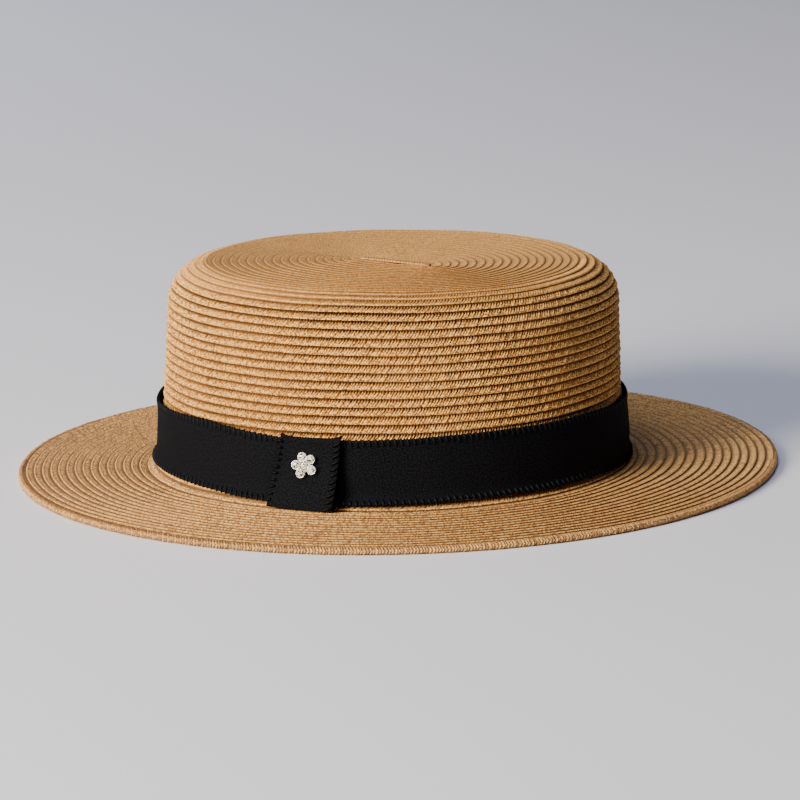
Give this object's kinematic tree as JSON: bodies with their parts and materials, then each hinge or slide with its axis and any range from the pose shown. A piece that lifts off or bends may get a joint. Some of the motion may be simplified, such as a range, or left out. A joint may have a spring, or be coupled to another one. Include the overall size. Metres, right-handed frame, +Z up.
{
  "type": "straw boater hat",
  "caption": "Flat-topped oval hat of sewn paper-straw braid with a stiff level brim, a black ribbon band, a ribbon keeper and a small flower of clear stones.",
  "frame": {"origin": "middle of the flat edge that the brim stands on, at the bottom of the part", "axes": "+Z up through the crown, +X along the long axis of the head oval towards the wearer's back, -Y towards the wearer's left, where the keeper and flower are"},
  "size_m": [0.3232, 0.2952, 0.0911],
  "materials": {
    "straw": "plaited paper straw, satin",
    "ribbon": "matt black woven ribbon",
    "silver": "polished",
    "stones": "cut and clear"
  },
  "bodies": {
    "root": {"crown": "straw", "brim": "straw", "ribbon_band": "ribbon", "ribbon_keeper": "ribbon", "flower_brooch": "silver"}
  },
  "joints": []
}
